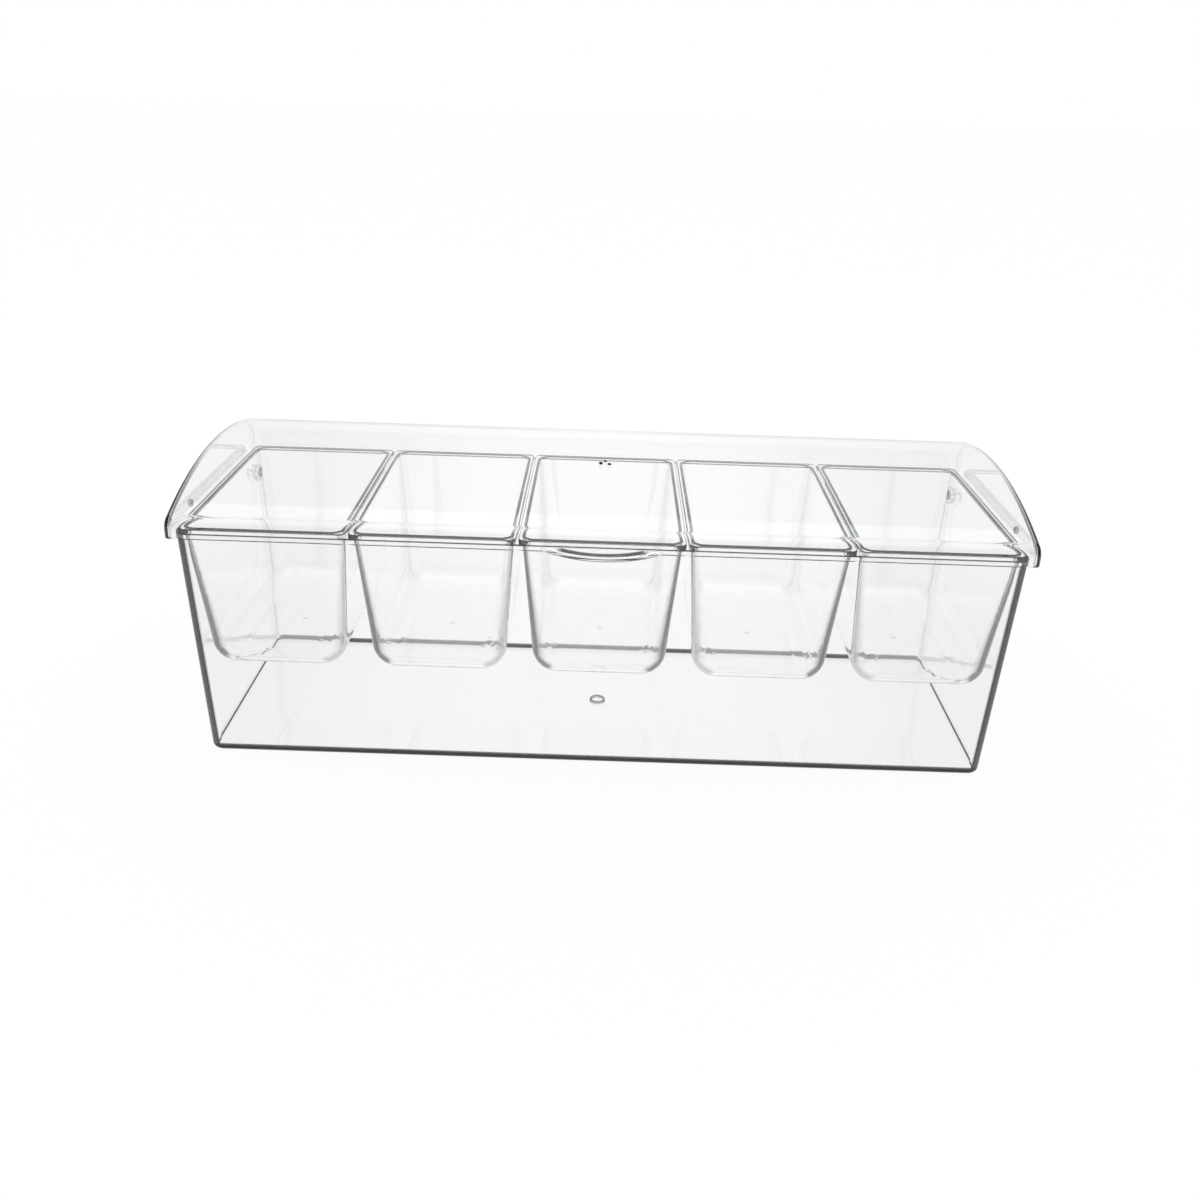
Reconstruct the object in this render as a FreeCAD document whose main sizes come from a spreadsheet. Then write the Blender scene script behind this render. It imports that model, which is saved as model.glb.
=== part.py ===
# Chilled serving tray: an ice tub, five lift-out dishes and an arched lid that is hinged at the back.
# Millimetres. Z is up, X runs along the tray and the front is at -Y.
# The origin is the centre of the tub's underside.
import FreeCAD
import Part
import Sketcher
import math
import os

doc = FreeCAD.newDocument("serving_tray")
sheet = doc.addObject("Spreadsheet::Sheet", "sizes")

rows = (
    ("pitch", 76.2, "spacing of the dishes along the tray"),
    ("rim_gap", 0.8, "gap between the rims of two dishes"),
    ("rim_inset", 0.9, "rim inside the front and back faces of the tub"),
    ("rim_thickness", 2.0, "thickness of the rim"),
    ("rim_corner", 3.0, "corner radius of the rim"),
    ("rim_edge", 0.6, "rounding of the rim's edges"),
    ("dish_gap", 0.5, "gap between a dish and the walls of the tub"),
    ("dish_height", 71.8, "top of the rim to the underside of the dish"),
    ("dish_draft", 4.2, "lean of a dish's walls, in degrees"),
    ("dish_wall", 1.6, "wall and floor of a dish"),
    ("dish_corner", 6.0, "corner radius of a dish at its mouth, outside"),
    ("dish_base_round", 12.0, "rounding around the underside of a dish, outside"),
    ("dish_corner_margin", 0.6, "corner radius at the underside beyond that rounding"),
    ("dish_foot_radius", 1.3, "moulding point under each dish"),
    ("dish_foot_height", 0.4, "height of the moulding point"),
    ("tub_end_margin", 1.0, "tub beyond the row of dishes at each end"),
    ("tub_depth", 132.8, "tub outside at the top, front to back"),
    ("tub_draft", 2.2, "lean of the tub's walls, in degrees"),
    ("tub_height", 113.8, "height of the tub"),
    ("tub_wall", 2.2, "wall and floor of the tub"),
    ("tub_corner", 6.0, "corner radius of the tub, outside"),
    ("tub_base_round", 3.0, "rounding around the underside of the tub"),
    ("tub_ring_radius", 4.0, "moulding ring on the floor of the tub, outer radius"),
    ("tub_ring_width", 0.9, "width of the moulding ring"),
    ("tub_ring_height", 0.5, "height of the moulding ring"),
    ("lid_wall", 2.2, "wall of the lid"),
    ("lid_end_gap", 1.2, "gap between the tub and the lid's end panels"),
    ("lid_front_gap", 1.2, "gap between the tub and the lid's front panel"),
    ("lid_back_gap", 3.4, "gap between the tub and the lid's back panel"),
    ("lid_overlap", 1.2, "lower edge of the lid below the top of the tub"),
    ("lid_front_room", 2.85, "room above the rims where the arch meets the front panel"),
    ("lid_arch_rise", 16.43, "crest of the arch above its front end"),
    ("lid_crest", 14.0, "crest of the arch behind the centre"),
    ("lid_front_round", 7.0, "radius between the front panel and the arch"),
    ("lid_back_round", 18.0, "radius between the arch and the back panel"),
    ("lid_end_round", 4.0, "radius between the arch and the end panels"),
    ("lip_length", 53.0, "thumb lip along the tray"),
    ("lip_reach", 11.0, "thumb lip in front of the lid"),
    ("lip_thickness", 2.3, "thickness of the thumb lip"),
    ("lip_edge", 0.7, "rounding of the thumb lip's edge"),
    ("nib_radius", 2.0, "guide nib on the inside of each end panel"),
    ("nib_reach", 0.7, "nib standing in from the end panel"),
    ("nib_front", 36.0, "nib in front of the centre"),
    ("nib_rise", 4.4, "nib above the lid's lower edge"),
    ("hinge_inset", 6.9, "hinge axis in front of the tub's back face"),
    ("hinge_drop", 11.8, "hinge axis below the top of the tub"),
    ("ear_radius", 6.0, "end of the lid's ear around the hinge axis"),
    ("ear_root", 5.0, "ear above the lid's lower edge, within the end panel"),
    ("boss_radius", 4.6, "hinge boss on the end of the tub"),
    ("boss_root", 1.9, "hinge boss, into the wall of the tub"),
    ("boss_gap", 0.4, "gap between the boss and the ear"),
    ("seat_floor", 0.7, "boss behind the end of the hinge pin"),
    ("pin_radius", 2.5, "shank of the hinge pin"),
    ("pin_clearance", 0.05, "clearance around the shank"),
    ("pin_head_radius", 4.5, "head of the hinge pin"),
    ("pin_head_height", 1.6, "height of the head"),
    ("pin_head_round", 1.0, "rounding of the head"),
    ("head_gap", 0.3, "gap between the head and the ear"),
    ("near", 0.01, "two places closer than this are the same"),
)
for index, (name, value, note) in enumerate(rows, start=1):
    sheet.set(f"A{index}", note)
    sheet.set(f"B{index}", str(value))
    sheet.setAlias(f"B{index}", name)
doc.recompute()

dish_count = 5

# Sizes and places that follow from the driving dimensions.
places = doc.addObject("Spreadsheet::Sheet", "places")
followers = (
    ("tub_length", f"{dish_count} * sizes.pitch + 2 * sizes.tub_end_margin"),
    ("rim_length", "sizes.pitch - sizes.rim_gap"),
    ("rim_depth", "sizes.tub_depth - 2 * sizes.rim_inset"),
    ("rim_top", "sizes.tub_height + sizes.rim_thickness"),
    ("dish_length", "sizes.pitch + 2 * (sizes.tub_end_margin - sizes.tub_wall - sizes.dish_gap)"),
    ("dish_depth", "sizes.tub_depth - 2 * (sizes.tub_wall + sizes.dish_gap)"),
    ("lid_inner", "tub_length / 2 + sizes.lid_end_gap"),
    ("lid_length", "2 * (lid_inner + sizes.lid_wall)"),
    ("lid_front", "sizes.tub_depth / 2 + sizes.lid_front_gap + sizes.lid_wall"),
    ("lid_back", "sizes.tub_depth / 2 + sizes.lid_back_gap + sizes.lid_wall"),
    ("lid_base", "sizes.tub_height - sizes.lid_overlap"),
    ("arch_start", "sizes.lid_overlap + sizes.rim_thickness + sizes.lid_front_room + sizes.lid_wall"),
    ("lid_rise", "arch_start + sizes.lid_arch_rise"),
    ("arch_reach", "lid_front + sizes.lid_crest"),
    ("arch_radius", "(arch_reach ^ 2 + sizes.lid_arch_rise ^ 2) / (2 * sizes.lid_arch_rise)"),
    ("lip_radius", "((sizes.lip_length / 2) ^ 2 + sizes.lip_reach ^ 2) / (2 * sizes.lip_reach)"),
    ("hinge_back", "sizes.tub_depth / 2 - sizes.hinge_inset"),
    ("hinge_height", "sizes.tub_height - sizes.hinge_drop"),
    ("boss_face", "lid_inner - sizes.boss_gap"),
    ("wall_lean", "sizes.hinge_drop * tan(sizes.tub_draft)"),
    ("boss_length", "sizes.lid_end_gap - sizes.boss_gap + wall_lean + sizes.boss_root"),
    ("pin_seat", "boss_length - sizes.seat_floor"),
    ("shank_length", "pin_seat + sizes.boss_gap + sizes.lid_wall + sizes.head_gap"),
)
for index, (name, formula) in enumerate(followers, start=1):
    places.set(f"A{index}", name.replace("_", " "))
    places.set(f"B{index}", "=" + formula)
    places.setAlias(f"B{index}", name)
    doc.recompute()


def size(name):
    holder = sheet if hasattr(sheet, name) else places
    return float(getattr(holder, name))


def origin_plane(body, role):
    return next(item for item in body.Origin.OriginFeatures if item.Role == role)


def new_body(name):
    body = doc.addObject("PartDesign::Body", name)
    body.Label = name
    return body


def new_sketch(body, name, role, height=None):
    # A sketch on one of the body's own planes, moved along the plane's normal by an expression.
    sketch = body.newObject("Sketcher::SketchObject", name)
    sketch.AttachmentSupport = [(origin_plane(body, role), "")]
    sketch.MapMode = "FlatFace"
    if height:
        sketch.setExpression("AttachmentOffset.Base.z", height)
    return sketch


def drive(sketch, name, expression, *constraint):
    # A dimension of the sketch that follows the sheet.
    index = sketch.addConstraint(Sketcher.Constraint(*constraint))
    sketch.renameConstraint(index, name)
    sketch.setExpression(".Constraints." + name, expression)


def rule(sketch, *constraint):
    sketch.addConstraint(Sketcher.Constraint(*constraint))


def point(x, y):
    return FreeCAD.Vector(x, y, 0)


def line(sketch, start, end):
    return sketch.addGeometry(Part.LineSegment(point(*start), point(*end)), False)


def arc(sketch, centre, radius, start, end):
    # Counter-clockwise from one angle to the other.
    circle = Part.Circle(point(*centre), FreeCAD.Vector(0, 0, 1), radius)
    return sketch.addGeometry(Part.ArcOfCircle(circle, start, end), False)


def round_rectangle(sketch, length, depth, corner, mark=""):
    # A rectangle with round corners about the sketch's origin; the mark tells two in one sketch apart.
    a = size("pitch")
    r = size("rim_corner")
    c = a - r
    quarter = math.pi / 2
    low = line(sketch, (-c, -a), (c, -a))
    right = line(sketch, (a, -c), (a, c))
    high = line(sketch, (c, a), (-c, a))
    left = line(sketch, (-a, c), (-a, -c))
    arcs = (
        arc(sketch, (c, -c), r, -quarter, 0),
        arc(sketch, (c, c), r, 0, quarter),
        arc(sketch, (-c, c), r, quarter, 2 * quarter),
        arc(sketch, (-c, -c), r, 2 * quarter, 3 * quarter),
    )
    sides = (low, right, high, left)
    for index, side in enumerate(sides):
        rule(sketch, "Tangent", side, 2, arcs[index], 1)
        rule(sketch, "Tangent", arcs[index], 2, sides[(index + 1) % len(sides)], 1)
    rule(sketch, "Horizontal", low)
    rule(sketch, "Horizontal", high)
    rule(sketch, "Vertical", left)
    rule(sketch, "Vertical", right)
    for first, second in zip(arcs, arcs[1:]):
        rule(sketch, "Equal", first, second)
    rule(sketch, "Symmetric", arcs[0], 3, arcs[2], 3, -1, 1)
    drive(sketch, mark + "length", length, "DistanceX", left, 1, right, 1, 2 * a)
    drive(sketch, mark + "depth", depth, "DistanceY", low, 1, high, 1, 2 * a)
    drive(sketch, mark + "corner", corner, "Radius", arcs[0], r)


def rectangle(sketch, length, depth):
    # A plain rectangle about the sketch's origin.
    a = size("pitch")
    corners = ((-a, -a), (a, -a), (a, a), (-a, a))
    sides = [line(sketch, start, end) for start, end in zip(corners, corners[1:] + corners[:1])]
    for index, side in enumerate(sides):
        rule(sketch, "Coincident", side, 2, sides[(index + 1) % len(sides)], 1)
        rule(sketch, "Vertical" if index % 2 else "Horizontal", side)
    rule(sketch, "Symmetric", sides[0], 1, sides[2], 1, -1, 1)
    drive(sketch, "length", length, "DistanceX", sides[0], 1, sides[0], 2, 2 * a)
    drive(sketch, "depth", depth, "DistanceY", sides[1], 1, sides[1], 2, 2 * a)


def disc(sketch, across, up, radius):
    # A circle at a driven place; a place on an axis is given as None.
    start = size("pitch")
    centre = (start if across else 0, start if up else 0)
    circle = Part.Circle(point(*centre), FreeCAD.Vector(0, 0, 1), size("pin_radius"))
    index = sketch.addGeometry(circle, False)
    if across:
        drive(sketch, "across", across, "DistanceX", index, 3, start)
    else:
        rule(sketch, "PointOnObject", index, 3, -2)
    if up:
        drive(sketch, "up", up, "DistanceY", index, 3, start)
    else:
        rule(sketch, "PointOnObject", index, 3, -1)
    drive(sketch, "radius", radius, "Radius", index, size("pin_radius"))


def extrude(body, kind, name, sketch, length, reverse=False, both=False):
    feature = body.newObject("PartDesign::" + kind, name)
    feature.Profile = sketch
    feature.Reversed = reverse
    feature.SideType = "Symmetric" if both else "One side"
    feature.setExpression("Length", length)
    sketch.Visibility = False
    doc.recompute()
    return feature


def named_faces(feature, wanted):
    return [f"Face{index}" for index, face in enumerate(feature.Shape.Faces, start=1) if wanted(face)]


def lean_walls(body, name, feature, top, angle):
    # Leans the walls inwards below the top face.
    leaned = body.newObject("PartDesign::Draft", name)
    leaned.Base = (feature, named_faces(feature, lambda face: face.BoundBox.ZLength > size("near")))
    leaned.NeutralPlane = (feature, named_faces(feature, lambda face: lies_at(face, top)))
    leaned.Reversed = True
    leaned.setExpression("Angle", angle)
    doc.recompute()
    return leaned


def hollow_out(body, name, feature, mouth, wall):
    # A shell of even thickness, open at the face that lies at the given height.
    shell = body.newObject("PartDesign::Thickness", name)
    shell.Base = (feature, named_faces(feature, lambda face: lies_at(face, mouth)))
    shell.Reversed = True
    shell.setExpression("Value", wall)
    doc.recompute()
    return shell


def picked_edges(feature, wanted):
    return [f"Edge{index}" for index, edge in enumerate(feature.Shape.Edges, start=1) if wanted(edge)]


def fillet(body, name, feature, wanted, radius):
    rounded = body.newObject("PartDesign::Fillet", name)
    rounded.Base = (feature, picked_edges(feature, wanted))
    rounded.setExpression("Radius", radius)
    doc.recompute()
    return rounded


def lies_at(piece, height):
    # The whole edge or face is at one height.
    box = piece.BoundBox
    return abs(box.ZMin - height) < size("near") and abs(box.ZMax - height) < size("near")


def rises(edge):
    return edge.BoundBox.ZLength > size("near")


def goes_down(edge):
    return edge.firstVertex().Z > edge.lastVertex().Z


# The tub: drafted walls, rounded corners, a flat underside, and a round boss on each end for the hinge pin.
tub = new_body("ice_tub")
tub_outline = new_sketch(tub, "tub_outline", "XY_Plane")
rectangle(tub_outline, "places.tub_length", "sizes.tub_depth")
tub_block = extrude(tub, "Pad", "tub_block", tub_outline, "sizes.tub_height")
tub_block = lean_walls(tub, "tub_lean", tub_block, size("tub_height"), "sizes.tub_draft")
tub_block = fillet(tub, "tub_corners", tub_block, rises, "sizes.tub_corner")
tub_block = fillet(tub, "tub_edge", tub_block, lambda edge: lies_at(edge, 0), "sizes.tub_base_round")
hollow_out(tub, "tub_hollow", tub_block, size("tub_height"), "sizes.tub_wall")
for side, sign in (("left", "-"), ("right", "")):
    boss_sketch = new_sketch(tub, "boss_outline_" + side, "YZ_Plane", sign + "places.boss_face")
    disc(boss_sketch, "places.hinge_back", "places.hinge_height", "sizes.boss_radius")
    extrude(tub, "Pad", "boss_" + side, boss_sketch, "places.boss_length", reverse=side == "right")
for side, sign in (("left", "-"), ("right", "")):
    seat_sketch = new_sketch(tub, "seat_outline_" + side, "YZ_Plane", sign + "places.boss_face")
    disc(seat_sketch, "places.hinge_back", "places.hinge_height", "sizes.pin_radius + sizes.pin_clearance")
    extrude(tub, "Pocket", "seat_" + side, seat_sketch, "places.pin_seat", reverse=side == "left")
ring_sketch = new_sketch(tub, "ring_outline", "XY_Plane", "sizes.tub_wall")
disc(ring_sketch, None, None, "sizes.tub_ring_radius")
ring_circle = Part.Circle(point(0, 0), FreeCAD.Vector(0, 0, 1), size("rim_corner"))
ring_hole = ring_sketch.addGeometry(ring_circle, False)
rule(ring_sketch, "Coincident", ring_hole, 3, -1, 1)
ring_inside = "sizes.tub_ring_radius - sizes.tub_ring_width"
drive(ring_sketch, "inner_radius", ring_inside, "Radius", ring_hole, size("rim_corner"))
extrude(tub, "Pad", "ring", ring_sketch, "sizes.tub_ring_height")


def tapered_block(name, inset):
    # A dish's outside, or its inside where the inset is the wall: the walls lean inwards, the corners
    # widen from the mouth down, and the underside is rounded. Heights are below the mouth.
    height = f"(sizes.dish_height - {inset})"
    outlines = []
    for level, drop in (("mouth", "0"), ("underside", height)):
        outline = doc.addObject("Sketcher::SketchObject", f"{name}_{level}")
        inward = f"2 * ({inset} + {drop} * tan(sizes.dish_draft))"
        rectangle(outline, "places.dish_length - " + inward, "places.dish_depth - " + inward)
        outline.setExpression("Placement.Base.z", "-" + drop)
        outlines.append(outline)
    block = doc.addObject("Part::Loft", name + "_block")
    block.Sections = outlines
    block.Solid = True
    block.Ruled = True
    doc.recompute()
    thickness = size("dish_height") + block.Shape.BoundBox.ZMin
    at_mouth = size("dish_corner") - thickness
    at_base = size("dish_base_round") + size("dish_corner_margin") - thickness
    corners = doc.addObject("Part::Fillet", name + "_corners")
    corners.Base = block
    corners.Edges = [
        (index, at_mouth, at_base) if goes_down(edge) else (index, at_base, at_mouth)
        for index, edge in enumerate(block.Shape.Edges, start=1)
        if rises(edge)
    ]
    doc.recompute()
    base_round = size("dish_base_round") - thickness
    rounded = doc.addObject("Part::Fillet", name + "_rounded")
    rounded.Base = corners
    rounded.Edges = [
        (index, base_round, base_round)
        for index, edge in enumerate(corners.Shape.Edges, start=1)
        if lies_at(edge, block.Shape.BoundBox.ZMin)
    ]
    doc.recompute()
    return rounded


# The dishes: each hangs by a flat rim. Heights are below the top of the rim.
dish_shell = doc.addObject("Part::Cut", "dish_shell")
dish_shell.Base = tapered_block("dish_outside", "0")
dish_shell.Tool = tapered_block("dish_inside", "sizes.dish_wall")
doc.recompute()


def make_dish(name, place):
    dish = new_body(name)
    dish.BaseFeature = dish_shell
    doc.recompute()
    rim_sketch = new_sketch(dish, name + "_rim_outline", "XY_Plane")
    round_rectangle(rim_sketch, "places.rim_length", "places.rim_depth", "sizes.rim_corner")
    round_rectangle(
        rim_sketch,
        "places.dish_length - sizes.dish_wall",
        "places.dish_depth - sizes.dish_wall",
        "sizes.dish_corner - sizes.dish_wall / 2",
        "mouth_",
    )
    rim = extrude(dish, "Pad", name + "_rim", rim_sketch, "sizes.rim_thickness", reverse=True)
    fillet(dish, name + "_rim_edge", rim, lambda edge: lies_at(edge, 0), "sizes.rim_edge")
    foot_sketch = new_sketch(dish, name + "_foot_outline", "XY_Plane", "-sizes.dish_height")
    disc(foot_sketch, None, None, "sizes.dish_foot_radius")
    extrude(dish, "Pad", name + "_foot", foot_sketch, "sizes.dish_foot_height", reverse=True)
    dish.setExpression("Placement.Base.x", f"({place}) * sizes.pitch")
    dish.setExpression("Placement.Base.z", "places.rim_top")
    return dish


dishes = [make_dish(f"dish_{index + 1}", index - (dish_count - 1) / 2) for index in range(dish_count)]

# The lid: an arch with its crest behind the middle, hollowed from below. Heights are above its lower edge.
lid = new_body("hinged_lid")
profile = new_sketch(lid, "lid_profile", "YZ_Plane")
arch_radius = size("arch_radius")
front_round = size("lid_front_round")
back_round = size("lid_back_round")
arch_centre = (size("lid_crest"), size("lid_rise") - arch_radius)


def shoulder_centre(across, radius):
    # The centre of a round that touches the arch from within.
    away = across - arch_centre[0]
    return across, arch_centre[1] + math.sqrt((arch_radius - radius) ** 2 - away**2)


def angle_from_arch(centre):
    return math.atan2(centre[1] - arch_centre[1], centre[0] - arch_centre[0])


front_centre = shoulder_centre(front_round - size("lid_front"), front_round)
back_centre = shoulder_centre(size("lid_back") - back_round, back_round)
front_angle = angle_from_arch(front_centre)
back_angle = angle_from_arch(back_centre)
base_line = line(profile, (-size("lid_front"), 0), (size("lid_back"), 0))
back_line = line(profile, (size("lid_back"), 0), (size("lid_back"), back_centre[1]))
back_arc = arc(profile, back_centre, back_round, 0, back_angle)
arch_arc = arc(profile, arch_centre, arch_radius, back_angle, front_angle)
front_arc = arc(profile, front_centre, front_round, front_angle, math.pi)
front_line = line(profile, (-size("lid_front"), front_centre[1]), (-size("lid_front"), 0))
rule(profile, "Coincident", base_line, 2, back_line, 1)
rule(profile, "Tangent", back_line, 2, back_arc, 1)
rule(profile, "Tangent", back_arc, 2, arch_arc, 1)
rule(profile, "Tangent", arch_arc, 2, front_arc, 1)
rule(profile, "Tangent", front_arc, 2, front_line, 1)
rule(profile, "Coincident", front_line, 2, base_line, 1)
rule(profile, "PointOnObject", base_line, 1, -1)
rule(profile, "Horizontal", base_line)
rule(profile, "Vertical", back_line)
rule(profile, "Vertical", front_line)
drive(profile, "front", "-places.lid_front", "DistanceX", base_line, 1, -size("lid_front"))
drive(profile, "back", "places.lid_back", "DistanceX", base_line, 2, size("lid_back"))
drive(profile, "arch", "places.arch_radius", "Radius", arch_arc, arch_radius)
drive(profile, "front_round", "sizes.lid_front_round", "Radius", front_arc, front_round)
drive(profile, "back_round", "sizes.lid_back_round", "Radius", back_arc, back_round)
drive(profile, "crest", "sizes.lid_crest", "DistanceX", arch_arc, 3, arch_centre[0])
drive(profile, "rise", "places.lid_rise - places.arch_radius", "DistanceY", arch_arc, 3, arch_centre[1])
lid_block = extrude(lid, "Pad", "lid_block", profile, "places.lid_length", both=True)
lid_half = size("lid_length") / 2


def on_end_outline(edge):
    # The curved outline of an end panel, without its lower edge.
    box = edge.BoundBox
    at_end = box.XLength < size("near") and abs(abs(box.XMin) - lid_half) < size("near")
    return at_end and box.ZMax > size("near")


lid_block = fillet(lid, "lid_end_edges", lid_block, on_end_outline, "sizes.lid_end_round")
hollow_out(lid, "lid_shell", lid_block, 0, "sizes.lid_wall")


def draw_ear(sketch):
    # A tab from within the end panel down to a round end about the hinge axis.
    across = size("hinge_back")
    up = size("hinge_height") - size("lid_base")
    radius = size("ear_radius")
    root = size("ear_root")
    top = line(sketch, (across + radius, root), (across - radius, root))
    front = line(sketch, (across - radius, root), (across - radius, up))
    end = arc(sketch, (across, up), radius, math.pi, 2 * math.pi)
    back = line(sketch, (across + radius, up), (across + radius, root))
    rule(sketch, "Coincident", top, 2, front, 1)
    rule(sketch, "Tangent", front, 2, end, 1)
    rule(sketch, "Tangent", end, 2, back, 1)
    rule(sketch, "Coincident", back, 2, top, 1)
    rule(sketch, "Horizontal", top)
    rule(sketch, "Vertical", front)
    rule(sketch, "Vertical", back)
    drive(sketch, "across", "places.hinge_back", "DistanceX", end, 3, across)
    drive(sketch, "up", "places.hinge_height - places.lid_base", "DistanceY", end, 3, up)
    drive(sketch, "radius", "sizes.ear_radius", "Radius", end, radius)
    drive(sketch, "root", "sizes.ear_root", "DistanceY", top, 1, root)


for side, sign in (("left", "-"), ("right", "")):
    inner_face = sign + "places.lid_inner"
    ear_sketch = new_sketch(lid, "ear_outline_" + side, "YZ_Plane", inner_face)
    draw_ear(ear_sketch)
    extrude(lid, "Pad", "ear_" + side, ear_sketch, "sizes.lid_wall", reverse=side == "left")
    nib_sketch = new_sketch(lid, "nib_outline_" + side, "YZ_Plane", inner_face)
    disc(nib_sketch, "-sizes.nib_front", "sizes.nib_rise", "sizes.nib_radius")
    extrude(lid, "Pad", "nib_" + side, nib_sketch, "sizes.nib_reach", reverse=side == "right")
bore_sketch = new_sketch(lid, "bore_outline", "YZ_Plane")
disc(
    bore_sketch,
    "places.hinge_back",
    "places.hinge_height - places.lid_base",
    "sizes.pin_radius + sizes.pin_clearance",
)
extrude(lid, "Pocket", "ear_bores", bore_sketch, "places.lid_length", both=True)
lip_sketch = new_sketch(lid, "lip_outline", "XY_Plane")
half_lip = size("lip_length") / 2
lip_radius = size("lip_radius")
lip_centre = (0, -size("lid_front") - size("lip_reach") + lip_radius)
lip_spread = math.asin(half_lip / lip_radius)
lip_arc = arc(lip_sketch, lip_centre, lip_radius, -math.pi / 2 - lip_spread, -math.pi / 2 + lip_spread)
lip_chord = line(lip_sketch, (half_lip, -size("lid_front")), (-half_lip, -size("lid_front")))
rule(lip_sketch, "Coincident", lip_arc, 2, lip_chord, 1)
rule(lip_sketch, "Coincident", lip_chord, 2, lip_arc, 1)
rule(lip_sketch, "Horizontal", lip_chord)
rule(lip_sketch, "PointOnObject", lip_arc, 3, -2)
drive(lip_sketch, "length", "sizes.lip_length", "DistanceX", lip_chord, 2, lip_chord, 1, 2 * half_lip)
drive(lip_sketch, "front", "-places.lid_front", "DistanceY", lip_chord, 1, -size("lid_front"))
drive(lip_sketch, "radius", "places.lip_radius", "Radius", lip_arc, lip_radius)
lip = extrude(lid, "Pad", "lip", lip_sketch, "sizes.lip_thickness")
lip_front = -size("lid_front") - size("near")
fillet(
    lid,
    "lip_edges",
    lip,
    lambda edge: edge.BoundBox.YMin < lip_front and edge.BoundBox.ZLength < size("near"),
    "sizes.lip_edge",
)
lid.setExpression("Placement.Base.z", "places.lid_base")


# The hinge pins: a round shank with a wide, rounded head.
def make_pin(name, sign, turn):
    pin = new_body(name)
    shank_sketch = new_sketch(pin, name + "_shank_outline", "YZ_Plane")
    disc(shank_sketch, None, None, "sizes.pin_radius")
    extrude(pin, "Pad", name + "_shank", shank_sketch, "places.shank_length")
    head_sketch = new_sketch(pin, name + "_head_outline", "YZ_Plane", "places.shank_length")
    disc(head_sketch, None, None, "sizes.pin_head_radius")
    head = extrude(pin, "Pad", name + "_head", head_sketch, "sizes.pin_head_height")
    tip = head.Shape.BoundBox.XMax
    fillet(
        pin,
        name + "_head_edge",
        head,
        lambda edge: edge.BoundBox.XMin > tip - size("near"),
        "sizes.pin_head_round",
    )
    pin.Placement.Rotation = FreeCAD.Rotation(FreeCAD.Vector(0, 0, 1), turn)
    pin.setExpression("Placement.Base.x", f"{sign}(places.boss_face - places.pin_seat)")
    pin.setExpression("Placement.Base.y", "places.hinge_back")
    pin.setExpression("Placement.Base.z", "places.hinge_height")
    return pin


half_turn = math.degrees(math.pi)
pins = [make_pin("hinge_pin_left", "-", half_turn), make_pin("hinge_pin_right", "", 0)]

doc.recompute()
bodies = [tub, *dishes, lid, *pins]
for item in doc.Objects:
    if "Invalid" in item.State or "Error" in item.State:
        raise RuntimeError(f"{item.Label} did not compute")
os.makedirs("parts", exist_ok=True)
for body in bodies:
    if body.Shape.isNull() or not body.Shape.isValid() or len(body.Shape.Solids) != 1:
        raise RuntimeError(f"{body.Label} is not one sound solid")
    body.Shape.exportStep(f"parts/{body.Label}.step")
    print(body.Label, round(body.Shape.Volume, 1))
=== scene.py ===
import bpy
import math
from mathutils import Matrix


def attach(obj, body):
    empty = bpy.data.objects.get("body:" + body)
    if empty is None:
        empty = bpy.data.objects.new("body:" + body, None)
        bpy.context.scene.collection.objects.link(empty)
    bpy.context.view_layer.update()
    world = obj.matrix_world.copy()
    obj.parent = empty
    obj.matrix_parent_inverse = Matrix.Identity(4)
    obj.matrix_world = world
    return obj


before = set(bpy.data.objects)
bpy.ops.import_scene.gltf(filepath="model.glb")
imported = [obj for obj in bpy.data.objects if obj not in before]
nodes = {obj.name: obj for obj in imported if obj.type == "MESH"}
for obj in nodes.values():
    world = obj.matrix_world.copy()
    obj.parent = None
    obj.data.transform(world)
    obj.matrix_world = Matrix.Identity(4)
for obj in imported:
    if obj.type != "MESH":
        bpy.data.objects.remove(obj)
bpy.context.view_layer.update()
scene = bpy.context.scene
mm = 0.001
print("frame loaded:", len(nodes), "nodes")

# enough bounces for light that crosses the lid, a dish and both walls of the tub
scene.cycles.max_bounces = 32
scene.cycles.transmission_bounces = 32
scene.cycles.glossy_bounces = 16
scene.cycles.diffuse_bounces = 4
scene.cycles.use_denoising = True
scene.view_settings.view_transform = "Standard"


# node helpers
def newMaterial(name):
    material = bpy.data.materials.new(name)
    material.use_nodes = True
    tree = material.node_tree
    tree.nodes.clear()
    return material, tree


def addNode(tree, kind, place, **values):
    node = tree.nodes.new(kind)
    node.location = place
    for key, value in values.items():
        setattr(node, key, value)
    return node


def fillInputs(node, values):
    for name, value in values.items():
        node.inputs[name].default_value = value


def addSockets(tree, direction, kind, names):
    for name in names:
        tree.interface.new_socket(name, in_out=direction, socket_type=kind)


# values are plain floats or sockets to link
def mathNode(tree, operation, place, *values):
    node = addNode(tree, "ShaderNodeMath", place, operation=operation)
    for socket, value in zip(node.inputs, values):
        if isinstance(value, float):
            socket.default_value = value
        else:
            tree.links.new(value, socket)
    return node.outputs["Value"]


def smoothStep(tree, place, value, low, high, lowResult, highResult):
    node = addNode(tree, "ShaderNodeMapRange", place, interpolation_type="SMOOTHSTEP")
    fillInputs(node, {"From Min": low, "From Max": high, "To Min": lowResult, "To Max": highResult})
    tree.links.new(value, node.inputs["Value"])
    return node.outputs["Result"]


# slight flow waves in the moulded surface, and faint polish marks in its roughness
polishMarks = {
    "waveDetail": 1.0, "waveDepth": 0.0004,
    "smearScale": 55.0, "smearDetail": 4.0, "smearSwirl": 0.6, "smearRange": (0.45, 0.75),
}


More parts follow.
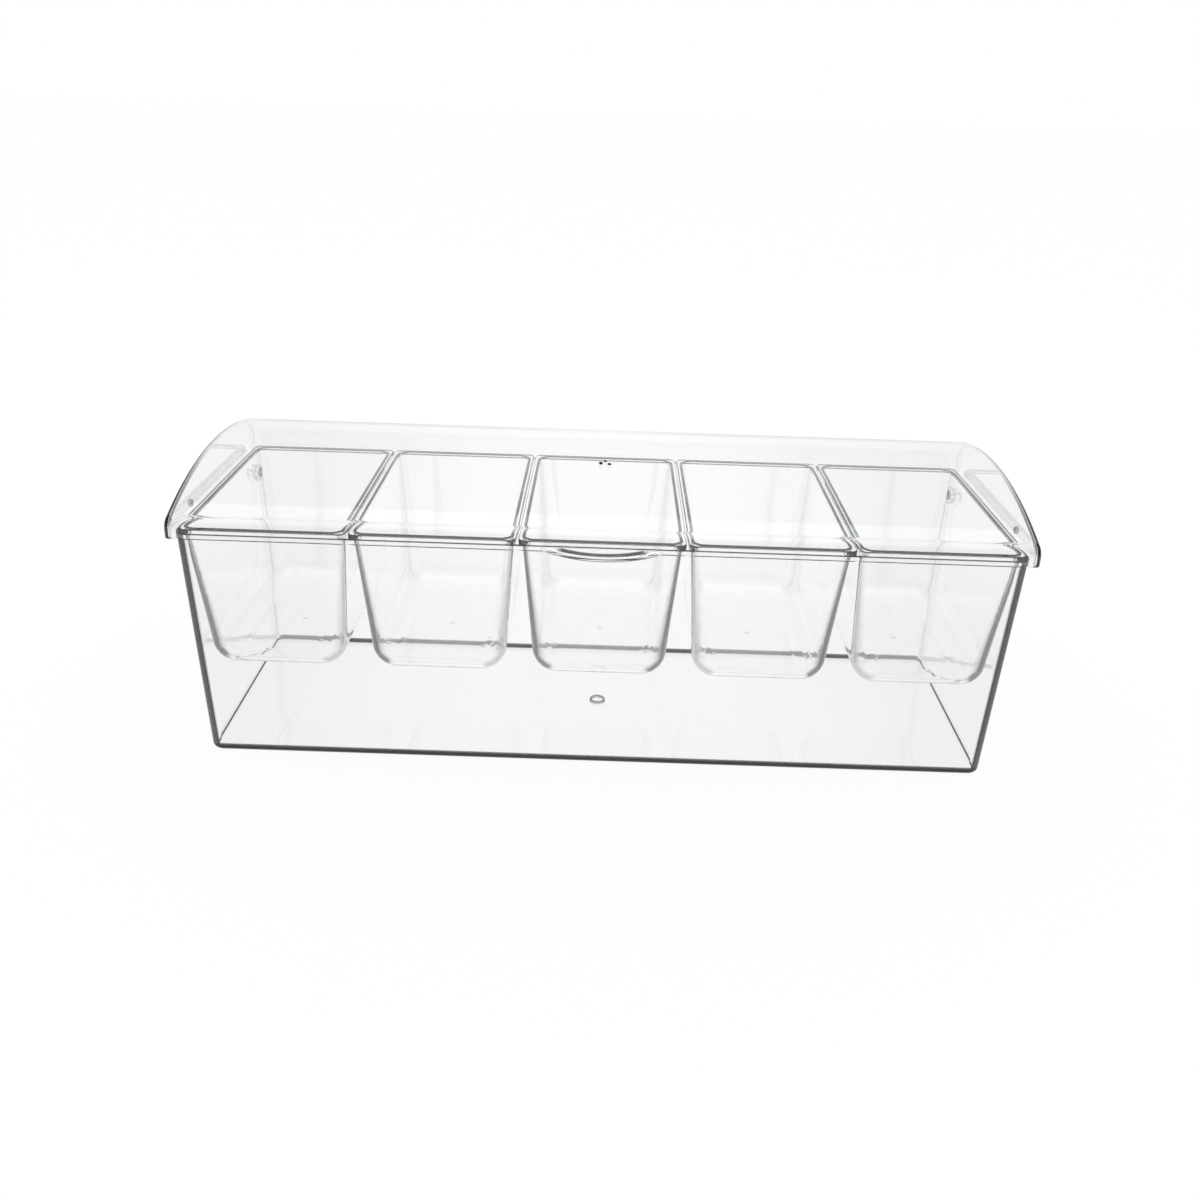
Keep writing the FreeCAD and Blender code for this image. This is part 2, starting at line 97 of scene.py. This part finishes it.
def polishGroup(settings):
    group = bpy.data.node_groups.new("mouldedPolish", "ShaderNodeTree")
    sizes = ("Wave Size", "Wave Height", "Low Roughness", "High Roughness")
    addSockets(group, "INPUT", "NodeSocketFloat", sizes)
    addSockets(group, "OUTPUT", "NodeSocketFloat", ["Roughness"])
    addSockets(group, "OUTPUT", "NodeSocketVector", ["Normal"])
    inputs = addNode(group, "NodeGroupInput", (-900, 0))
    outputs = addNode(group, "NodeGroupOutput", (500, 0))
    coords = addNode(group, "ShaderNodeTexCoord", (-900, -300))
    wave = addNode(group, "ShaderNodeTexNoise", (-600, -200))
    fillInputs(wave, {"Detail": settings["waveDetail"]})
    bump = addNode(group, "ShaderNodeBump", (200, -200))
    fillInputs(bump, {"Distance": settings["waveDepth"]})
    smear = addNode(group, "ShaderNodeTexNoise", (-600, 200))
    fillInputs(smear, {
        "Scale": settings["smearScale"], "Detail": settings["smearDetail"],
        "Distortion": settings["smearSwirl"],
    })
    low, high = settings["smearRange"]
    span = addNode(group, "ShaderNodeMapRange", (-200, 200))
    fillInputs(span, {"From Min": low, "From Max": high})
    link = group.links.new
    link(coords.outputs["Object"], wave.inputs["Vector"])
    link(coords.outputs["Object"], smear.inputs["Vector"])
    link(inputs.outputs["Wave Size"], wave.inputs["Scale"])
    link(inputs.outputs["Wave Height"], bump.inputs["Strength"])
    link(wave.outputs["Fac"], bump.inputs["Height"])
    link(smear.outputs["Fac"], span.inputs["Value"])
    link(inputs.outputs["Low Roughness"], span.inputs["To Min"])
    link(inputs.outputs["High Roughness"], span.inputs["To Max"])
    link(span.outputs["Result"], outputs.inputs["Roughness"])
    link(bump.outputs["Normal"], outputs.inputs["Normal"])
    return group


# painted shade: where black lines are mixed into the clear plastic's colour along rounded edges, adding to
# the dark lines its refraction draws; turns are parts of the normal, places are in metres
edges = {
    "corner": (0.05, 0.25), "round": (0.015, 0.14),  # turns of upright and of other rounded edges
    "front": (-0.045, 0.0), "back": 0.3,  # lines fade to this share towards the back
    "pitch": 0.0762, "rim": (0.1125, 0.1135), "base": (0.065, 0.080),  # dishes
    "foot": (0.0034, 0.0040), "footTurn": (-0.90, -0.60),  # front base edge of the tub
    "ringInner": (0.0029, 0.0033), "ringOuter": (0.0039, 0.0043),  # gate ring in the tub's floor
    "end": (0.150, 0.170), "nib": (-0.036, 0.117), "nibSize": (0.0012, 0.0024),  # ends of the lid
    "lip": (-0.0712, -0.0702), "lipTop": (0.3, 0.7), "lipBelow": (0.05, 0.3), "lipBelowShare": 0.85,
    "arcCentre": -0.04338, "arcInner": (0.0318, 0.0330), "arcOuter": (0.0358, 0.0366),
    "arcEnd": (0.0175, 0.0225),  # arc on the thumb lip
}


# masks for the painted shade lines, each with its own weight
def paintedShadeGroup(settings):
    group = bpy.data.node_groups.new("paintedShadeLines", "ShaderNodeTree")
    weights = ("Upright", "Inner Side", "Level", "Rim", "Base", "Foot", "Ends", "Lip", "Nib", "Ring")
    addSockets(group, "INPUT", "NodeSocketFloat", weights)
    addSockets(group, "OUTPUT", "NodeSocketFloat", ("Steady", "Turned", "Grazed"))
    inputs = addNode(group, "NodeGroupInput", (-1800, 600))
    outputs = addNode(group, "NodeGroupOutput", (1100, 0))
    coords = addNode(group, "ShaderNodeTexCoord", (-1800, 0))
    turn = addNode(group, "ShaderNodeSeparateXYZ", (-1600, 200))
    place = addNode(group, "ShaderNodeSeparateXYZ", (-1600, -200))
    group.links.new(coords.outputs["Normal"], turn.inputs["Vector"])
    group.links.new(coords.outputs["Object"], place.inputs["Vector"])
    xTurn, yTurn, zTurn = turn.outputs["X"], turn.outputs["Y"], turn.outputs["Z"]
    x, y, z = place.outputs["X"], place.outputs["Y"], place.outputs["Z"]

    def rising(spot, value, name, top=1.0):
        return smoothStep(group, spot, value, *settings[name], 0.0, top)

    def falling(spot, value, name, bottom=0.0):
        return smoothStep(group, spot, value, *settings[name], 1.0, bottom)

    def times(row, *factors):
        result = factors[0]
        for step, factor in enumerate(factors[1:]):
            result = mathNode(group, "MULTIPLY", (-200 + 150 * step, row), result, factor)
        return result

    # one where a normal lies between this axis and the other two
    def between(row, part):
        square = mathNode(group, "MULTIPLY", (-1200, row), part, part)
        rest = mathNode(group, "SUBTRACT", (-1000, row), 1.0, square)
        share = mathNode(group, "MULTIPLY", (-800, row), square, rest)
        return rising((-600, row), share, "round")

    def distance(row, first, firstPlace, second, secondPlace):
        first = mathNode(group, "SUBTRACT", (-1400, row), first, firstPlace)
        second = mathNode(group, "SUBTRACT", (-1400, row - 100), second, secondPlace)
        first = mathNode(group, "MULTIPLY", (-1200, row), first, first)
        second = mathNode(group, "MULTIPLY", (-1200, row - 100), second, second)
        square = mathNode(group, "ADD", (-1000, row), first, second)
        return mathNode(group, "SQRT", (-800, row), square)

    # the painted shade lines fade towards the back
    inFront = falling((-1200, -400), y, "front", settings["back"])
    across = mathNode(group, "ABSOLUTE", (-1400, -800), x)

    # painted shade on upright corners, fainter on the side of a dish that is nearer the middle of the tray
    corner = mathNode(group, "MULTIPLY", (-1200, 300), xTurn, yTurn)
    corner = mathNode(group, "ABSOLUTE", (-1000, 300), corner)
    corner = rising((-800, 300), corner, "corner")
    halfPitch = settings["pitch"] / 2
    side = mathNode(group, "WRAP", (-1400, 450), x, halfPitch, -halfPitch)
    side = mathNode(group, "MULTIPLY", (-1200, 450), side, x)
    side = mathNode(group, "GREATER_THAN", (-1000, 450), side, 0.0)
    side = mathNode(group, "MAXIMUM", (-800, 450), side, inputs.outputs["Inner Side"])
    upright = times(300, corner, inFront, side, inputs.outputs["Upright"])

    # painted shade along level edges: all of them, rims, undersides of the dishes, base of the tub, ends of
    # the lid
    tilted = between(100, zTurn)
    level = times(100, tilted, inputs.outputs["Level"])
    rim = times(0, tilted, rising((-800, 0), z, "rim"), inputs.outputs["Rim"])
    base = times(-50, tilted, falling((-800, -50), z, "base"), inFront, inputs.outputs["Base"])
    low = falling((-800, 150), z, "foot")
    upFront = falling((-800, 50), yTurn, "footTurn")
    foot = times(150, low, upFront, inputs.outputs["Foot"])
    atEnd = rising((-800, -200), across, "end")
    ends = times(-100, between(-100, xTurn), inFront, atEnd, inputs.outputs["Ends"])

    # painted shade on the thumb lip: a broad dark arc on its top behind the edge and a fainter one along the
    # edge below, where the thick lip refracts dark surroundings
    radius = distance(-600, x, 0.0, y, settings["arcCentre"])
    inner = rising((-600, -600), radius, "arcInner")
    outer = falling((-600, -700), radius, "arcOuter")
    taper = falling((-600, -800), across, "arcEnd")
    arc = times(-600, inner, outer, taper, rising((-600, -900), zTurn, "lipTop"))
    below = mathNode(group, "MULTIPLY", (-800, -1000), yTurn, zTurn)
    below = rising((-600, -1000), below, "lipBelow", settings["lipBelowShare"])
    lip = mathNode(group, "MAXIMUM", (400, -600), arc, below)
    lip = times(-500, lip, falling((-1000, -400), y, "lip"), inputs.outputs["Lip"])

    # painted shade in small round marks: dark spots at the nibs in the lid's ends and a dark band along the
    # gate ring
    nib = distance(-1200, y, settings["nib"][0], z, settings["nib"][1])
    nib = times(-1200, falling((-600, -1200), nib, "nibSize"), inputs.outputs["Nib"])
    ring = distance(-1400, x, 0.0, y, 0.0)
    inner = rising((-600, -1400), ring, "ringInner")
    outer = falling((-600, -1500), ring, "ringOuter")
    ring = times(-1400, inner, outer, inputs.outputs["Ring"])

    steady = level
    for other in (rim, foot, lip, nib, ring):
        steady = mathNode(group, "MAXIMUM", (700, 100), steady, other)
    turned = mathNode(group, "MAXIMUM", (700, 300), upright, ends)
    for name, mask in {"Steady": steady, "Turned": turned, "Grazed": base}.items():
        group.links.new(mask, outputs.inputs[name])
    return group


polish = polishGroup(polishMarks)
paintedShadeTree = paintedShadeGroup(edges)


# a piece's tint with its painted shade lines mixed in as black, some of which show only on faces turned from
# the eye
def tintWithPaintedShade(tree, settings):
    view = addNode(tree, "ShaderNodeLayerWeight", (-900, 200))
    lines = addNode(tree, "ShaderNodeGroup", (-900, 0), node_tree=paintedShadeTree)
    fillInputs(lines, settings["edges"])
    dark = lines.outputs["Steady"]
    for row, name in ((500, "Turned"), (700, "Grazed")):
        seen = smoothStep(tree, (-700, row), view.outputs["Facing"], *settings[name.lower()], 0.0, 1.0)
        seen = mathNode(tree, "MULTIPLY", (-500, row), seen, lines.outputs[name])
        dark = mathNode(tree, "MAXIMUM", (-300, row), dark, seen)
    colour = addNode(tree, "ShaderNodeMix", (-200, 200), data_type="RGBA")
    fillInputs(colour, {"A": (*settings["tint"], 1), "B": (*settings["paintedShadeColour"], 1)})
    tree.links.new(dark, colour.inputs["Factor"])
    return colour.outputs["Result"]


def clearPlastic(name, settings):
    material, tree = newMaterial(name)
    out = addNode(tree, "ShaderNodeOutputMaterial", (400, 0))
    shader = addNode(tree, "ShaderNodeBsdfPrincipled", (0, 0))
    fillInputs(shader, {
        "Base Color": (*settings["tint"], 1), "Metallic": 0.0, "Transmission Weight": 1.0,
        "IOR": settings["ior"],
    })
    surface = addNode(tree, "ShaderNodeGroup", (-300, -100), node_tree=polish)
    fillInputs(surface, {
        "Wave Size": settings["waveSize"], "Wave Height": settings["waveHeight"],
        "Low Roughness": settings["smooth"], "High Roughness": settings["smear"],
    })
    body = addNode(tree, "ShaderNodeVolumeAbsorption", (0, -500))
    fillInputs(body, {"Color": (*settings["depthTint"], 1), "Density": settings["density"]})
    link = tree.links.new
    # painted shade: dark edge lines mixed into the base colour
    if settings["edges"]:
        link(tintWithPaintedShade(tree, settings), shader.inputs["Base Color"])
    link(surface.outputs["Roughness"], shader.inputs["Roughness"])
    link(surface.outputs["Normal"], shader.inputs["Normal"])
    link(shader.outputs["BSDF"], out.inputs["Surface"])
    link(body.outputs["Volume"], out.inputs["Volume"])
    return material


# what all the pieces share, and then each piece's own; the black line colour and each piece's edge weights
# set its painted shade lines
plastic = {
    "tint": (1.0, 1.0, 1.0), "ior": 1.53, "smooth": 0.0, "smear": 0.02, "depthTint": (0.66, 0.74, 0.82),
    "paintedShadeColour": (0.0, 0.0, 0.0), "edges": {}, "turned": (0.0, 1.0), "grazed": (0.0, 1.0),
}
tubLook = {
    **plastic, "waveSize": 14.0, "waveHeight": 0.03, "density": 24.0, "turned": (0.09, 0.30),
    "edges": {"Upright": 0.993, "Inner Side": 1.0, "Level": 0.985, "Foot": 0.98, "Ring": 0.9},
}
dishLook = {
    **plastic, "waveSize": 20.0, "waveHeight": 0.03, "density": 12.0,
    "turned": (0.22, 0.55), "grazed": (0.66, 0.90),
    "edges": {"Upright": 0.985, "Inner Side": 0.6, "Rim": 0.9, "Base": 0.7},
}
lidLook = {
    **plastic, "waveSize": 10.0, "waveHeight": 0.03, "density": 12.0, "turned": (0.05, 0.25),
    "edges": {"Ends": 1.0, "Lip": 1.0, "Nib": 0.95},
}
pinLook = {
    **plastic, "tint": (0.96, 0.97, 1.0), "waveSize": 60.0, "waveHeight": 0.05, "smear": 0.04,
    "density": 8.0,
}
finishes = [
    ("clearTub", tubLook, ["ice_tub"]),
    ("clearDish", dishLook, ["dish_1", "dish_2", "dish_3", "dish_4", "dish_5"]),
    ("clearLid", lidLook, ["hinged_lid"]),
    ("clearPin", pinLook, ["hinge_pin_left", "hinge_pin_right"]),
]
for name, look, pieces in finishes:
    material = clearPlastic(name, look)
    for piece in pieces:
        slots = nodes[piece].data.materials
        slots.clear()
        slots.append(material)
print("materials set")

# three small dots where the lid was filled in its mould, sizes in millimetres and degrees
gateLook = {
    **plastic, "tint": (0.003, 0.003, 0.004), "waveSize": 60.0, "waveHeight": 0.05, "smear": 0.04,
    "density": 20.0,
    "count": 3, "spread": 2.4, "radius": 1.0, "flat": 0.7, "segments": 20, "rings": 12,
    "place": (0.0, -10.4, 135.95), "tilt": 6.3, "spin": 90.0,
}


def gateDots(settings, material):
    tree = bpy.data.node_groups.new("gateDots", "GeometryNodeTree")
    tree.is_modifier = True
    face = tree.interface
    addSockets(tree, "INPUT", "NodeSocketGeometry", ["Geometry"])
    count = face.new_socket("Count", in_out="INPUT", socket_type="NodeSocketInt")
    count.default_value = settings["count"]
    for name in ("Spread", "Radius"):
        length = face.new_socket(name, in_out="INPUT", socket_type="NodeSocketFloat")
        length.default_value = settings[name.lower()] * mm
    addSockets(tree, "OUTPUT", "NodeSocketGeometry", ["Geometry"])
    inputs = addNode(tree, "NodeGroupInput", (-900, 0))
    outputs = addNode(tree, "NodeGroupOutput", (900, 0))
    ring = addNode(tree, "GeometryNodeMeshCircle", (-600, 200))
    dot = addNode(tree, "GeometryNodeMeshUVSphere", (-600, -200))
    fillInputs(dot, {"Segments": settings["segments"], "Rings": settings["rings"]})
    spread = addNode(tree, "GeometryNodeInstanceOnPoints", (-300, 0))
    fillInputs(spread, {"Scale": (1.0, 1.0, settings["flat"])})
    move = addNode(tree, "GeometryNodeTransform", (0, 0))
    tilt, spin = math.radians(settings["tilt"]), math.radians(settings["spin"])
    fillInputs(move, {
        "Translation": [value * mm for value in settings["place"]], "Rotation": (tilt, 0.0, spin),
    })
    solid = addNode(tree, "GeometryNodeRealizeInstances", (300, 0))
    paint = addNode(tree, "GeometryNodeSetMaterial", (600, 0))
    fillInputs(paint, {"Material": material})
    link = tree.links.new
    link(inputs.outputs["Count"], ring.inputs["Vertices"])
    link(inputs.outputs["Spread"], ring.inputs["Radius"])
    link(inputs.outputs["Radius"], dot.inputs["Radius"])
    link(ring.outputs["Mesh"], spread.inputs["Points"])
    link(dot.outputs["Mesh"], spread.inputs["Instance"])
    link(spread.outputs["Instances"], move.inputs["Geometry"])
    link(move.outputs["Geometry"], solid.inputs["Geometry"])
    link(solid.outputs["Geometry"], paint.inputs["Geometry"])
    link(paint.outputs["Geometry"], outputs.inputs["Geometry"])
    return tree


# a tree's result as a plain mesh
def meshFromTree(name, tree):
    piece = bpy.data.objects.new(name, bpy.data.meshes.new(name + "Start"))
    scene.collection.objects.link(piece)
    modifier = piece.modifiers.new("shape", "NODES")
    modifier.node_group = tree
    finished = piece.evaluated_get(bpy.context.evaluated_depsgraph_get())
    mesh = bpy.data.meshes.new_from_object(finished)
    piece.modifiers.remove(modifier)
    piece.data = mesh
    mesh.name = name
    mesh.shade_smooth()
    return piece


gate = meshFromTree("lid_gate_dots", gateDots(gateLook, clearPlastic("gateDots", gateLook)))
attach(gate, "lid")
print("gate dots made:", len(gate.data.polygons), "faces")

# studio: a white table and surround, which the plastic sees a little greyer to the sides and dim far out
studio = {
    "floorSize": 20.0, "floorDrop": 0.0003,  # a little below the tub, as faces in one plane would streak
    "floorColour": (0.97, 0.97, 0.97), "floorGlow": 0.94, "lighting": 0.98, "shade": 0.90, "room": 0.3,
    "table": {"shade": (0.05, 0.28), "side": (2.5, 4.0), "front": (2.5, 4.0)},  # metres from the middle
    "surround": {"shade": (0.10, 0.35), "side": (0.40, 0.70), "front": (0.40, 0.75)},  # parts of a direction
}


def flatPiece(name, corners, material):
    mesh = bpy.data.meshes.new(name)
    mesh.from_pydata(corners, [], [tuple(range(len(corners)))])
    piece = bpy.data.objects.new(name, mesh)
    scene.collection.objects.link(piece)
    mesh.materials.append(material)
    return piece


# how white the plastic sees a place: one behind the tray, then shade to its sides and room level beyond
def whiteShare(tree, coords, reach):
    parts = addNode(tree, "ShaderNodeSeparateXYZ", (-1000, -300))
    tree.links.new(coords, parts.inputs["Vector"])
    sideways = mathNode(tree, "ABSOLUTE", (-800, -300), parts.outputs["X"])
    forward = mathNode(tree, "MULTIPLY", (-800, -500), parts.outputs["Y"], -1.0)
    soft = smoothStep(tree, (-600, -100), sideways, *reach["shade"], 1.0, studio["shade"])
    side = smoothStep(tree, (-600, -300), sideways, *reach["side"], 1.0, studio["room"])
    front = smoothStep(tree, (-600, -500), forward, *reach["front"], 1.0, studio["room"])
    share = mathNode(tree, "MULTIPLY", (-400, -200), side, soft)
    return mathNode(tree, "MULTIPLY", (-200, -300), share, front)


# how a ray arrived: straight from the camera, or by way of gloss and clear plastic
def arrival(tree):
    path = addNode(tree, "ShaderNodeLightPath", (-1000, 300))
    glossy, clear = path.outputs["Is Glossy Ray"], path.outputs["Is Transmission Ray"]
    byPlastic = mathNode(tree, "MAXIMUM", (-800, 300), glossy, clear)
    return path.outputs["Is Camera Ray"], byPlastic


floorMaterial, floorTree = newMaterial("studioFloor")
floorOut = addNode(floorTree, "ShaderNodeOutputMaterial", (800, 0))
floorShade = addNode(floorTree, "ShaderNodeBsdfDiffuse", (200, 100))
fillInputs(floorShade, {"Color": (*studio["floorColour"], 1)})
floorGlow = addNode(floorTree, "ShaderNodeEmission", (200, -100))
floorMix = addNode(floorTree, "ShaderNodeMixShader", (600, 0))
floorCoords = addNode(floorTree, "ShaderNodeTexCoord", (-1200, -300))
onTable = whiteShare(floorTree, floorCoords.outputs["Object"], studio["table"])
straight, byPlastic = arrival(floorTree)
floorLevel = mathNode(floorTree, "MAXIMUM", (0, -200), straight, onTable)
floorShare = mathNode(floorTree, "MAXIMUM", (0, 300), straight, byPlastic)
floorShare = mathNode(floorTree, "MULTIPLY", (200, 300), floorShare, studio["floorGlow"])
floorTree.links.new(floorLevel, floorGlow.inputs["Strength"])
floorTree.links.new(floorShare, floorMix.inputs["Fac"])
floorTree.links.new(floorShade.outputs["BSDF"], floorMix.inputs[1])
floorTree.links.new(floorGlow.outputs["Emission"], floorMix.inputs[2])
floorTree.links.new(floorMix.outputs["Shader"], floorOut.inputs["Surface"])
half = studio["floorSize"] / 2
level = -studio["floorDrop"]
floorCorners = [(-half, -half, level), (half, -half, level), (half, half, level), (-half, half, level)]
flatPiece("studioFloor", floorCorners, floorMaterial)

world = bpy.data.worlds.new("studioWorld")
scene.world = world
world.use_nodes = True
worldTree = world.node_tree
background = worldTree.nodes["Background"]
fillInputs(background, {"Color": (1, 1, 1, 1)})
worldCoords = addNode(worldTree, "ShaderNodeTexCoord", (-1200, -300))
roomLight = whiteShare(worldTree, worldCoords.outputs["Generated"], studio["surround"])
straight, byPlastic = arrival(worldTree)
plain = smoothStep(worldTree, (-600, 100), straight, 0.0, 1.0, studio["lighting"], 1.0)
worldLevel = addNode(worldTree, "ShaderNodeMix", (-100, 0), data_type="FLOAT")
worldTree.links.new(byPlastic, worldLevel.inputs["Factor"])
worldTree.links.new(plain, worldLevel.inputs["A"])
worldTree.links.new(roomLight, worldLevel.inputs["B"])
worldTree.links.new(worldLevel.outputs["Result"], background.inputs["Strength"])

lamp = {"name": "lamp_top", "place": (0.0, 0.1, 1.6), "size": 1.6, "power": 4.0}
lampData = bpy.data.lights.new(lamp["name"], "AREA")
lampData.size = lamp["size"]
lampData.energy = lamp["power"]
lampObject = bpy.data.objects.new(lamp["name"], lampData)
lampObject.location = lamp["place"]
scene.collection.objects.link(lampObject)
print("studio set")

# camera at the photograph's angle: looking down, with a slight roll
shot = {
    "lens": 36.0, "sensor": 36.0, "pitch": 23.76, "roll": 1.907, "place": (-0.0003, -0.5645, 0.3079),
}
cameraData = bpy.data.cameras.new("camera")
cameraData.lens = shot["lens"]
cameraData.sensor_width = shot["sensor"]
camera = bpy.data.objects.new("camera", cameraData)
pitch = Matrix.Rotation(math.radians(90 - shot["pitch"]), 4, "X")
roll = Matrix.Rotation(math.radians(shot["roll"]), 4, "Z")
camera.matrix_world = Matrix.Translation(shot["place"]) @ pitch @ roll
scene.collection.objects.link(camera)
scene.camera = camera
print("camera set")
